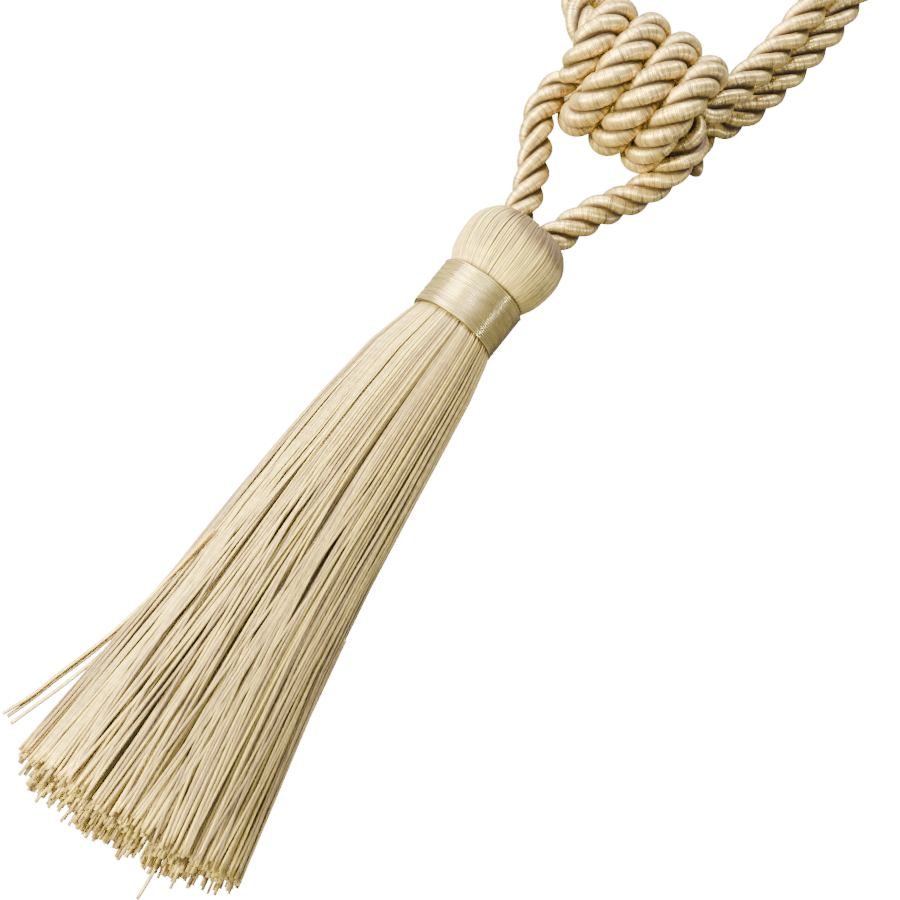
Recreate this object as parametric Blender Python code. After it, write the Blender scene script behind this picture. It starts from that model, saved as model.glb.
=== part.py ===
"""Curtain tieback with one large tassel.

A doubled three-ply rope ends in an open loop on each side. Four turns of the same rope are wound
round its middle as a barrel knot. A second rope passes through the knot, and both its ends go down
into the head of the tassel. Lengths in the tables are millimetres; the meshes are built in metres.
The part lies on the plane z = 0 and its origin is the bottom centre of tassel, band and knot.
"""

import math

import bmesh
import bpy
import numpy as np
from mathutils import Vector

MM = 0.001

# Frame origin, seen from the middle of the layout in which the tables are written.
ORIGIN = (-22.9, 4.4)

# Three-ply rope.
ROPE_RADIUS = 5.4
CORE_RADIUS = 4.2
EXIT_RADIUS = 4.7
ROPE_PITCH = 25.0
VALLEY_SHARE = 0.66
PLIES = 3
RING_STEP = 3.6
CORE_GAP = 0.42

# Tassel: N is where the skirt leaves the neck band.
NECK_POINT = (0.7, 36.8)
NECK_AXIS_HEIGHT = 16.3
HEAD_ANGLE = math.radians(51.7)
SKIRT_ANGLE = math.radians(57.85)
BAND_LENGTH = 17.0
BAND_INNER = 13.58
BAND_OUTER = 14.5
BAND_LIP = 14.1
BAND_SEGMENTS = 32
HEAD_SEGMENTS = 30

# Head profile from the skirt's root to the rope pit: distance up the head's axis, radius.
HEAD_PROFILE = (
    (1.5, 13.2),
    (17.3, 13.2),
    (18.0, 13.9),
    (22.0, 15.6),
    (27.0, 16.7),
    (32.0, 16.9),
    (36.0, 15.8),
    (38.8, 13.8),
    (39.9, 12.5),
    (39.3, 11.7),
    (32.8, 11.5),
)
ROOT_LEVEL = -1.0
ROOT_RADIUS = 13.3

# Skirt sections: distance from the band, half width, half height, sideways bend, flattening.
SKIRT_SECTIONS = (
    (0.0, 13.4, 13.4, 0.0, 0.0),
    (16.0, 17.7, 14.0, -1.4, 0.0),
    (36.0, 20.7, 14.6, -2.6, 0.4),
    (56.0, 22.8, 15.0, -3.3, 0.8),
    (80.0, 24.9, 15.4, -3.9, 1.0),
    (112.0, 28.0, 16.2, -4.0, 1.0),
    (178.0, 37.4, 19.0, -3.0, 1.0),
    (200.0, 41.0, 20.4, -2.2, 1.0),
)
STRAND_RINGS = 10
STRAND_STATIONS = (16.0, 56.0, 112.0)
STRAND_SHARE = 0.84
STRAND_LENGTH = 174.5
END_BULGE = 4.5
# The strands underneath end further out, most of all left of the middle.
UNDER_REACH = 5.5
UNDER_LEAN = 0.4
END_UNEVEN = 2.6
FLAT_FROM = -0.4
FLAT_KEEP = 0.4
FLAT_WIDEN = 0.5
# Stray strands: angle round the skirt, extra sideways reach at the end, extra length.
STRAYS = (
    (182.0, -11.5, -8.0),
    (171.0, -8.5, -6.0),
    (-76.0, 0.0, 8.0),
)

# Barrel knot.
KNOT_CENTRE = (57.6, 114.8)
KNOT_HEIGHT = 22.5
KNOT_ANGLE = math.radians(-32.0)
COIL_STEP = 11.25
WRAPS = 4
COIL_STEPS = 16
CORE_SPACING = 4.2
CORE_HALF = 14.5
CORE_LEFT_TURN = math.radians(215.0)
CORE_RIGHT_TURN = math.radians(142.0)

# The knot rope before its first whole turn: along the knot's axis, across it, height.
WRAP_START = (
    (-17.4, -9.8, 28.6),
    (-17.2, -7.6, 32.6),
)
# Distance of the coil's middle from the knot's axis, by the number of turns.
COIL_RADII = (
    (0.0, 14.8),
    (0.5, 17.2),
    (0.75, 17.8),
    (1.0, 17.3),
    (1.5, 17.2),
    (1.75, 17.8),
    (2.0, 17.3),
    (2.5, 17.2),
    (2.75, 17.0),
    (3.0, 17.3),
    (3.24, 15.7),
)
LAST_TURN = 3.24

# The tassel's rope outside the knot, from the pit in the head: x, y, height.
LEFT_LEG = (
    (16.9, 66.3, 16.3),
    (20.9, 71.7, 16.4),
    (24.3, 78.6, 16.4),
    (26.8, 87.0, 16.0),
    (28.2, 96.0, 15.4),
    (29.0, 104.2, 15.0),
    (31.0, 111.4, 15.0),
    (36.0, 117.2, 16.8),
)
RIGHT_LEG = (
    (25.8, 59.3, 16.3),
    (30.2, 64.6, 16.4),
    (37.1, 69.4, 16.6),
    (46.9, 75.5, 16.8),
    (57.0, 79.9, 17.2),
    (67.0, 85.05, 20.4),
    (71.9, 89.8, 24.2),
    (75.0, 95.0, 26.8),
    (75.0, 99.8, 27.6),
)

# Runs of the two tie loops between the knot and the doubled arms: x, y, height.
LEFT_ARM_OUT = (
    (43.8, 130.6, 23.0),
    (42.0, 136.8, 20.8),
    (42.2, 144.4, 17.2),
    (42.0, 153.0, 12.8),
)
LEFT_ARM_BACK = (
    (52.4, 152.0, 7.0),
    (51.8, 145.0, 6.2),
)
RIGHT_ARM_OUT = (
    (82.0, 106.6, 20.2),
    (88.2, 112.3, 19.8),
    (93.9, 118.4, 18.6),
    (100.2, 124.8, 16.6),
    (107.2, 132.4, 14.8),
    (114.2, 140.8, 13.8),
    (120.6, 149.6, 12.6),
    (126.0, 160.6, 9.6),
)
RIGHT_ARM_BACK = (
    (137.7, 157.6, 5.4),
    (131.6, 149.8, 5.4),
    (127.0, 143.4, 5.4),
    (121.0, 136.6, 5.4),
    (114.8, 129.8, 5.4),
    (107.8, 122.8, 5.4),
    (100.2, 115.6, 5.4),
    (92.2, 110.0, 5.4),
    (86.0, 108.2, 5.4),
    (82.2, 104.4, 5.4),
    (80.0, 99.2, 5.4),
    (77.6, 94.2, 5.4),
)
# The doubled arms: x, y, height of the middle line, half the distance between the two runs.
LEFT_ARM = (
    (44.6, 166.0, 6.8, 5.8),
    (41.2, 184.0, 5.4, 5.8),
    (38.6, 204.0, 5.4, 5.8),
    (39.6, 224.0, 5.4, 5.8),
    (42.2, 242.0, 5.4, 6.4),
    (45.8, 257.0, 5.4, 11.0),
    (49.6, 271.0, 5.4, 17.4),
    (53.4, 284.0, 5.4, 20.6),
    (57.2, 297.0, 5.4, 18.6),
    (60.0, 306.6, 5.4, 11.0),
)
LEFT_TIP = (61.4, 311.4, 5.4)
RIGHT_ARM = (
    (137.0, 169.0, 5.7, 5.8),
    (141.6, 187.0, 5.4, 5.8),
    (142.8, 206.0, 5.4, 5.8),
    (141.0, 225.0, 5.4, 5.8),
    (137.2, 242.0, 5.4, 6.4),
    (132.8, 257.0, 5.4, 11.0),
    (128.4, 271.0, 5.4, 17.4),
    (124.4, 284.0, 5.4, 20.6),
    (120.4, 297.0, 5.4, 18.6),
    (117.4, 306.6, 5.4, 11.0),
)
RIGHT_TIP = (115.8, 311.4, 5.4)


def clear_scene():
    for item in list(bpy.data.objects):
        bpy.data.objects.remove(item, do_unlink=True)


def make_material(name, colour, roughness):
    material = bpy.data.materials.new(name)
    material.use_nodes = True
    shader = material.node_tree.nodes["Principled BSDF"]
    shader.inputs["Base Color"].default_value = (*colour, 1.0)
    shader.inputs["Roughness"].default_value = roughness
    shader.inputs["Metallic"].default_value = 0.0
    return material


def add_object(name, bm, material):
    """Closes a bmesh, written in millimetres of the layout, into one named object in metres."""
    bmesh.ops.recalc_face_normals(bm, faces=bm.faces)
    for vertex in bm.verts:
        x, y, z = vertex.co
        vertex.co = ((x - ORIGIN[0]) * MM, (y - ORIGIN[1]) * MM, max(z, 0.0) * MM)
    mesh = bpy.data.meshes.new(name)
    bm.to_mesh(mesh)
    bm.free()
    mesh.materials.append(material)
    mesh.shade_smooth()
    mesh.set_sharp_from_angle(angle=math.radians(50.0))
    item = bpy.data.objects.new(name, mesh)
    bpy.context.scene.collection.objects.link(item)
    return item


def column(rows, at, index):
    """One column of a table at any distance, by its first column."""
    return float(np.interp(at, [row[0] for row in rows], [row[index] for row in rows]))


def smooth_line(points, step):
    """A centripetal Catmull-Rom curve through the points, resampled at an even step."""
    p = np.array(points, float)
    p = np.vstack([2 * p[0] - p[1], p, 2 * p[-1] - p[-2]])
    dense = []
    for i in range(1, len(p) - 2):
        knots = [0.0]
        for k in range(3):
            knots.append(knots[-1] + np.linalg.norm(p[i + k] - p[i + k - 1]) ** 0.5)
        for t in np.linspace(knots[1], knots[2], 24, endpoint=False):
            a = [
                (knots[k + 1] - t) / (knots[k + 1] - knots[k]) * p[i + k - 1]
                + (t - knots[k]) / (knots[k + 1] - knots[k]) * p[i + k]
                for k in range(3)
            ]
            b = [
                (knots[k + 2] - t) / (knots[k + 2] - knots[k]) * a[k]
                + (t - knots[k]) / (knots[k + 2] - knots[k]) * a[k + 1]
                for k in range(2)
            ]
            blend = (t - knots[1]) / (knots[2] - knots[1])
            dense.append((1 - blend) * b[0] + blend * b[1])
    dense = np.array(dense + [p[-2]])
    along = np.concatenate([[0], np.cumsum(np.linalg.norm(np.diff(dense, axis=0), axis=1))])
    count = max(2, round(along[-1] / step)) + 1
    at = np.linspace(0, along[-1], count)
    return np.stack([np.interp(at, along, dense[:, k]) for k in range(dense.shape[1])], axis=1)


def lobed_ring():
    """One rope section of radius 1: two points on each ply's crown and one in each groove."""
    spread = math.radians(24.0)
    ring = []
    for ply in range(PLIES):
        crown = 2 * math.pi * ply / PLIES
        ring += [(crown - spread, 1.0), (crown + spread, 1.0)]
        ring.append((crown + math.pi / PLIES, VALLEY_SHARE))
    return ring


def rope_mesh(bm, line):
    """Sweeps the twisted section along rows of x, y, z and radius, with both ends closed."""
    centres = [Vector(row[:3]) for row in line]
    last = len(centres) - 1
    tangents = [(centres[min(i + 1, last)] - centres[max(i - 1, 0)]).normalized() for i in range(last + 1)]
    side = tangents[0].orthogonal().normalized()
    turned = 0.0
    rings = []
    for i, centre in enumerate(centres):
        if i:
            side = tangents[i - 1].rotation_difference(tangents[i]) @ side
            turned += 2 * math.pi * (centre - centres[i - 1]).length / ROPE_PITCH
        side = (side - side.dot(tangents[i]) * tangents[i]).normalized()
        across = tangents[i].cross(side)
        ring = []
        for angle, share in lobed_ring():
            reach = float(share * line[i][3])
            arm = math.cos(angle + turned) * side + math.sin(angle + turned) * across
            ring.append(bm.verts.new(centre + reach * arm))
        rings.append(ring)
    for first, second in zip(rings, rings[1:]):
        for k in range(len(first)):
            j = (k + 1) % len(first)
            bm.faces.new((first[k], first[j], second[j], second[k]))
    bm.faces.new(rings[0][::-1])
    bm.faces.new(rings[-1])


def make_rope(name, points, material):
    bm = bmesh.new()
    rope_mesh(bm, smooth_line(points, RING_STEP))
    return add_object(name, bm, material)


def with_radius(points, radius=ROPE_RADIUS):
    return [(*point, radius) for point in points]


def knot_point(along, across, height):
    """From the knot's own axis to the layout."""
    axis = (math.cos(KNOT_ANGLE), math.sin(KNOT_ANGLE))
    return (
        KNOT_CENTRE[0] + along * axis[0] - across * axis[1],
        KNOT_CENTRE[1] + along * axis[1] + across * axis[0],
        height,
    )


def coil_point(turn):
    """The knot rope's middle after a number of turns, counted from the top of the first wrap."""
    angle = 2 * math.pi * turn
    radius = column(COIL_RADII, turn, 1)
    along = COIL_STEP * (turn - (WRAPS - 1) / 2)
    return knot_point(along, radius * math.sin(angle), KNOT_HEIGHT + radius * math.cos(angle))


def core_point(along, opposite):
    """One of the two ropes that run through the knot, side by side and slowly turning."""
    share = (along + CORE_HALF) / (2 * CORE_HALF)
    angle = CORE_LEFT_TURN + share * (CORE_RIGHT_TURN - CORE_LEFT_TURN) + (math.pi if opposite else 0)
    across = CORE_SPACING * math.cos(angle)
    return knot_point(along, across, KNOT_HEIGHT + CORE_SPACING * math.sin(angle))


def core_run(start, end, opposite):
    count = max(2, round(abs(end - start) / 5.0)) + 1
    return [core_point(along, opposite) for along in np.linspace(start, end, count)]


def wrap_points():
    start = [knot_point(*row) for row in WRAP_START]
    count = round(LAST_TURN * COIL_STEPS)
    coil = [coil_point(turn) for turn in np.linspace(0.0, LAST_TURN, count + 1)]
    return with_radius(start, EXIT_RADIUS) + with_radius(coil[:-2]) + with_radius(coil[-2:], EXIT_RADIUS)


def loop_points():
    """The tassel's rope: up one leg, through the knot, where it is squeezed, and down the other."""
    return (
        with_radius(LEFT_LEG[:-1])
        + with_radius(LEFT_LEG[-1:], EXIT_RADIUS)
        + with_radius(core_run(-CORE_HALF, CORE_HALF, False), CORE_RADIUS)
        + with_radius(RIGHT_LEG[-1:], EXIT_RADIUS)
        + with_radius(RIGHT_LEG[-2::-1])
    )


def doubled_run(rows, tip):
    """Out along one side of an arm's middle line, round the tip, and back along the other."""
    middle = np.array([row[:2] for row in rows], float)
    forward = np.gradient(middle, axis=0)
    forward /= np.linalg.norm(forward, axis=1)[:, None]
    left = np.stack([-forward[:, 1], forward[:, 0]], axis=1)
    half = np.array([row[3] for row in rows])[:, None]
    height = [row[2] for row in rows]
    out = [(*p, z) for p, z in zip(middle + half * left, height)]
    back = [(*p, z) for p, z in zip(middle - half * left, height)]
    return out + [tip] + back[::-1]


def tie_points(side, out, rows, tip, back):
    """One half of the tie: from the middle of the knot, out, round the end loop and back."""
    core = core_run(side * CORE_GAP / 2, side * CORE_HALF, True)
    arm = list(out[2:]) + doubled_run(rows, tip) + list(back)
    return with_radius(core, CORE_RADIUS) + with_radius(out[:2], EXIT_RADIUS) + with_radius(arm)


def left_tie_points():
    return tie_points(-1, LEFT_ARM_OUT, LEFT_ARM, LEFT_TIP, LEFT_ARM_BACK)


def right_tie_points():
    return tie_points(1, RIGHT_ARM_OUT, RIGHT_ARM, RIGHT_TIP, RIGHT_ARM_BACK)


def head_point(up, radius, angle):
    """A point of the head or band: distance up its axis, radius, angle round it from its side."""
    across = radius * math.cos(angle)
    return Vector((
        NECK_POINT[0] + up * math.cos(HEAD_ANGLE) + across * math.sin(HEAD_ANGLE),
        NECK_POINT[1] + up * math.sin(HEAD_ANGLE) - across * math.cos(HEAD_ANGLE),
        NECK_AXIS_HEIGHT + radius * math.sin(angle),
    ))


def bottom_curve(q, flat):
    """Height in a section from -1 to 1, with its bottom pressed level where flat is 1."""
    if q >= FLAT_FROM:
        return q
    share = (FLAT_FROM - q) / (1 + FLAT_FROM)
    pressed = FLAT_FROM - (1 + FLAT_FROM) * (share - FLAT_KEEP * share * share)
    return q + flat * (pressed - q)


def skirt_point(s, p, q, reach):
    """A point of the skirt: distance from the band, place in the round section, extra reach."""
    width = column(SKIRT_SECTIONS, s, 1)
    half_height = column(SKIRT_SECTIONS, s, 2)
    bend = column(SKIRT_SECTIONS, s, 3)
    flat = column(SKIRT_SECTIONS, s, 4)
    widen = 1 + flat * FLAT_WIDEN * max(0.0, -q) ** 2
    across = bend + width * p * widen + reach
    level = -half_height * bottom_curve(-1.0, 1.0)
    middle = (1 - flat) * NECK_AXIS_HEIGHT + flat * level
    return Vector((
        NECK_POINT[0] - s * math.cos(SKIRT_ANGLE) + across * math.sin(SKIRT_ANGLE),
        NECK_POINT[1] - s * math.sin(SKIRT_ANGLE) - across * math.cos(SKIRT_ANGLE),
        middle + half_height * bottom_curve(q, flat),
    ))


def within_disc(corners, places):
    return all(corner in places for corner in corners)


def lattice_disc(rings):
    """A six-sided lattice pressed into a unit disc: {(i, j): (p, q)} and its two sets of triangles."""
    places = {}
    for i in range(-rings, rings + 1):
        for j in range(max(-rings, -i - rings), min(rings, rings - i) + 1):
            x, y = i + j / 2, j * math.sqrt(3) / 2
            ring = max(abs(i), abs(j), abs(i + j))
            angle = math.atan2(y, x)
            sector = math.floor(angle / (math.pi / 3) + 1e-9)
            within = angle - sector * math.pi / 3
            # Along a hexagon's side the lattice is even, so the angle is spaced by distance.
            share = 0.5 + math.tan(within - math.pi / 6) / (2 * math.tan(math.pi / 6))
            angle = (sector + share) * math.pi / 3
            places[i, j] = (ring / rings * math.cos(angle), ring / rings * math.sin(angle))
    up = [((i, j), (i + 1, j), (i, j + 1)) for i, j in places]
    down = [((i + 1, j), (i + 1, j + 1), (i, j + 1)) for i, j in list(places)]
    down += [((i, j), (i, j + 1), (i - 1, j + 1)) for i, j in list(places)]
    up = sorted({tuple(c) for c in up if within_disc(c, places)})
    down = {tuple(sorted(c)) for c in down if within_disc(c, places)}
    return places, up, sorted(down - {tuple(sorted(c)) for c in up})


def stray_of(p, q):
    """Extra sideways reach and extra length of the strand whose place is p, q."""
    if math.hypot(p, q) < 0.9:
        return 0.0, 0.0
    angle = math.degrees(math.atan2(q, p)) % 360
    for at, reach, longer in STRAYS:
        if abs((angle - at + 180) % 360 - 180) < 3.2:
            return reach, longer
    return 0.0, 0.0


def add_strand(bm, roots, corners, uneven):
    """Grows one three-sided strand from a triangle of the head's underside."""
    p = sum(c[0] for c in corners) / 3
    q = sum(c[1] for c in corners) / 3
    reach, longer = stray_of(p, q)
    under = UNDER_REACH * (1 - q) / 2 * (1 - UNDER_LEAN * p)
    length = STRAND_LENGTH + (END_BULGE + under) * (1 - p * p) + END_UNEVEN * uneven + longer
    before = roots
    for s in (*STRAND_STATIONS, length):
        away = reach * max(0.0, (s - STRAND_STATIONS[-1]) / (length - STRAND_STATIONS[-1]))
        ring = []
        for corner in corners:
            at = (p + STRAND_SHARE * (corner[0] - p), q + STRAND_SHARE * (corner[1] - q))
            ring.append(bm.verts.new(skirt_point(s, *at, away)))
        for k in range(3):
            j = (k + 1) % 3
            bm.faces.new((before[k], before[j], ring[j], ring[k]))
        before = ring
    bm.faces.new(before)


def ring_of(bm, up, radius, count):
    turn = 2 * math.pi / count
    return [bm.verts.new(head_point(up, radius, k * turn)) for k in range(count)]


def join_rings(bm, first, second):
    """Joins two closed rings, the first with as many points or twice as many."""
    ratio = len(first) // len(second)
    for k in range(len(second)):
        j = (k + 1) % len(second)
        if ratio == 1:
            bm.faces.new((first[k], first[j], second[j], second[k]))
            continue
        a, b, c = first[2 * k], first[2 * k + 1], first[(2 * k + 2) % len(first)]
        bm.faces.new((a, b, second[k]))
        bm.faces.new((b, second[j], second[k]))
        bm.faces.new((b, c, second[j]))


def make_tassel(material):
    """Head with its rope pit, and the skirt's strands, fused at their roots."""
    bm = bmesh.new()
    places, up, down = lattice_disc(STRAND_RINGS)
    roots = {}
    for key, (p, q) in places.items():
        roots[key] = bm.verts.new(head_point(ROOT_LEVEL, ROOT_RADIUS * math.hypot(p, q), math.atan2(q, p)))
    for corners in down:
        bm.faces.new([roots[c] for c in corners])
    for number, corners in enumerate(up):
        uneven = math.sin(2.4 * number) * math.cos(0.9 * number + 1.0)
        add_strand(bm, [roots[c] for c in corners], [places[c] for c in corners], uneven)
    rim = [key for key in places if max(abs(key[0]), abs(key[1]), abs(sum(key))) == STRAND_RINGS]
    rim.sort(key=lambda key: math.atan2(places[key][1], places[key][0]) % (2 * math.pi))
    before = [roots[key] for key in rim]
    for up_axis, radius in HEAD_PROFILE:
        ring = ring_of(bm, up_axis, radius, HEAD_SEGMENTS)
        join_rings(bm, before, ring)
        before = ring
    bm.faces.new(before)
    return add_object("tassel", bm, material)


def make_band(material):
    """Thread wound round the neck."""
    bm = bmesh.new()
    profile = (
        (0.0, BAND_INNER),
        (0.0, BAND_LIP),
        (1.0, BAND_OUTER),
        (BAND_LENGTH - 1.0, BAND_OUTER),
        (BAND_LENGTH, BAND_LIP),
        (BAND_LENGTH, BAND_INNER),
    )
    rings = [ring_of(bm, up, radius, BAND_SEGMENTS) for up, radius in profile]
    for first, second in zip(rings, rings[1:] + rings[:1]):
        join_rings(bm, first, second)
    return add_object("neck_band", bm, material)


def main():
    clear_scene()
    yarn = make_material("skirt_yarn", (0.60, 0.47, 0.29), 0.6)
    satin = make_material("band_thread", (0.62, 0.48, 0.27), 0.35)
    rope = make_material("rope_satin", (0.68, 0.55, 0.36), 0.4)
    make_tassel(yarn)
    make_band(satin)
    make_rope("tassel_loop", loop_points(), rope)
    make_rope("knot_wraps", wrap_points(), rope)
    make_rope("tie_loop_left", left_tie_points(), rope)
    make_rope("tie_loop_right", right_tie_points(), rope)


main()
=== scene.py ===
"""Dressed model of a curtain tieback with one large tassel, laid out flat.

The ropes are three satin-wound plies twisted together, the head and skirt of the tassel are loose
twisted yarns and the neck is wound with satin thread. Tables are millimetres of the layout; the
pieces are built in metres in the part's own frame.
"""

import logging
import math
from dataclasses import dataclass
from enum import Enum

import bpy
import numpy as np
from mathutils import Matrix, Vector

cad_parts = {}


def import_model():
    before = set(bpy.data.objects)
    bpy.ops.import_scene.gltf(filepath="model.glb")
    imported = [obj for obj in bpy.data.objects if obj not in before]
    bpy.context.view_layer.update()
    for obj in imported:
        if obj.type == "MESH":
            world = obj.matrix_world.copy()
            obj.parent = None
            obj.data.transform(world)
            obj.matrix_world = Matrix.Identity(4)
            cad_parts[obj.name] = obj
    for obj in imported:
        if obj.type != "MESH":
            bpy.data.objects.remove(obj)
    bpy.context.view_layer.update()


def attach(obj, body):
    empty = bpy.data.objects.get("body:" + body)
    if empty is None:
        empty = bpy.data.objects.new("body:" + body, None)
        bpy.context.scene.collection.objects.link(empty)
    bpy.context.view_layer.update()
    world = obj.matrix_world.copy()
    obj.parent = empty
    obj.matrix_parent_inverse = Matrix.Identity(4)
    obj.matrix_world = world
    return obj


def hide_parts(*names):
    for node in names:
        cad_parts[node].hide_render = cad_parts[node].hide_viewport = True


LOG = logging.getLogger("tieback")

MM = 0.001
# The part's origin in the layout, in millimetres.
ORIGIN = np.array((-22.9, 4.4, 0.0))
# Degrees from a yarn's crown to each point of its ring, and how much painted shade each point
# gets: none on the crown, most on its sides and back.
RING_ANGLES = (180.0, 296.0, 331.0, 0.0, 29.0, 64.0)
RING_SHADES = np.array((1.0, 1.0, 0.4, 0.0, 0.4, 1.0))
CURVE_STEPS = 24
STEEP = 0.9

Point = tuple[float, ...]
Colour = tuple[float, float, float]


def unit(vectors: np.ndarray) -> np.ndarray:
    """Scales vectors to length 1.

    Args:
        vectors: Array whose last axis is x, y, z.

    Returns:
        The same array of unit vectors.
    """
    return vectors / np.maximum(np.linalg.norm(vectors, axis=-1, keepdims=True), 1e-12)


def smooth_line(points: list[Point], step: float) -> np.ndarray:
    """Runs a centripetal Catmull-Rom curve through points and resamples it evenly.

    Args:
        points: Rows of x, y, z and any further columns, in millimetres.
        step: Distance between the resampled rows.

    Returns:
        The resampled rows.
    """
    p = np.array(points, float)
    p = np.vstack([2 * p[0] - p[1], p, 2 * p[-1] - p[-2]])
    dense = []
    for i in range(1, len(p) - 2):
        knots = [0.0]
        for k in range(3):
            knots.append(knots[-1] + np.linalg.norm(p[i + k] - p[i + k - 1]) ** 0.5)
        for t in np.linspace(knots[1], knots[2], CURVE_STEPS, endpoint=False):
            a = [
                (knots[k + 1] - t) / (knots[k + 1] - knots[k]) * p[i + k - 1]
                + (t - knots[k]) / (knots[k + 1] - knots[k]) * p[i + k]
                for k in range(3)
            ]
            b = [
                (knots[k + 2] - t) / (knots[k + 2] - knots[k]) * a[k]
                + (t - knots[k]) / (knots[k + 2] - knots[k]) * a[k + 1]
                for k in range(2)
            ]
            blend = (t - knots[1]) / (knots[2] - knots[1])
            dense.append((1 - blend) * b[0] + blend * b[1])
    rows = np.array(dense + [p[-2]])
    along = distances(rows[:, :3])
    at = np.linspace(0, along[-1], max(2, round(along[-1] / step)) + 1)
    return np.stack([np.interp(at, along, rows[:, k]) for k in range(rows.shape[1])], axis=1)


def distances(line: np.ndarray) -> np.ndarray:
    """Measures the distance along a line at each of its points.

    Args:
        line: Points of one line, or of several with the points on the last axis but one.

    Returns:
        Distances, 0 at the first point.
    """
    steps = np.linalg.norm(np.diff(line, axis=-2), axis=-1)
    start = np.zeros(steps.shape[:-1] + (1,))
    return np.concatenate([start, np.cumsum(steps, axis=-1)], axis=-1)


def tangents_of(lines: np.ndarray) -> np.ndarray:
    """Gives the direction of lines at each point.

    Args:
        lines: Array of lines, points, x y z.

    Returns:
        Unit vectors in the same shape.
    """
    return unit(np.gradient(lines, axis=-2))


def frames_along(lines: np.ndarray) -> tuple[np.ndarray, np.ndarray]:
    """Carries a pair of side vectors along lines without twisting them.

    Args:
        lines: Array of lines, points, x y z.

    Returns:
        The two side vectors at each point.
    """
    ahead = tangents_of(lines)
    up = np.where(np.abs(ahead[:, 0, 2:3]) > STEEP, (1.0, 0.0, 0.0), (0.0, 0.0, 1.0))
    side = unit(np.cross(ahead[:, 0], up))
    sides = [side]
    for k in range(1, lines.shape[1]):
        side = unit(side - np.sum(side * ahead[:, k], axis=-1, keepdims=True) * ahead[:, k])
        sides.append(side)
    first = np.stack(sides, axis=1)
    return first, np.cross(ahead, first)


def swept(lines: np.ndarray, thick: np.ndarray, outward: np.ndarray) -> np.ndarray:
    """Lays rings round the middle lines of yarns, with one point of each on its crown.

    Args:
        lines: The yarns' middle lines.
        thick: The yarns' radii.
        outward: The direction away from the bundle at each point of the lines.

    Returns:
        Array of yarns, rings, ring points, x y z.
    """
    ahead = tangents_of(lines)
    crown = unit(outward - np.sum(outward * ahead, axis=-1, keepdims=True) * ahead)
    side = np.cross(ahead, crown)
    angle = np.radians(RING_ANGLES)[:, None]
    arms = np.cos(angle) * crown[:, :, None] + np.sin(angle) * side[:, :, None]
    return lines[:, :, None] + thick[:, :, None, None] * arms


def section_angle(angle: np.ndarray) -> np.ndarray:
    """Brings angles to the range from minus half a turn to half a turn."""
    return (angle + math.pi) % (2 * math.pi) - math.pi


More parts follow.
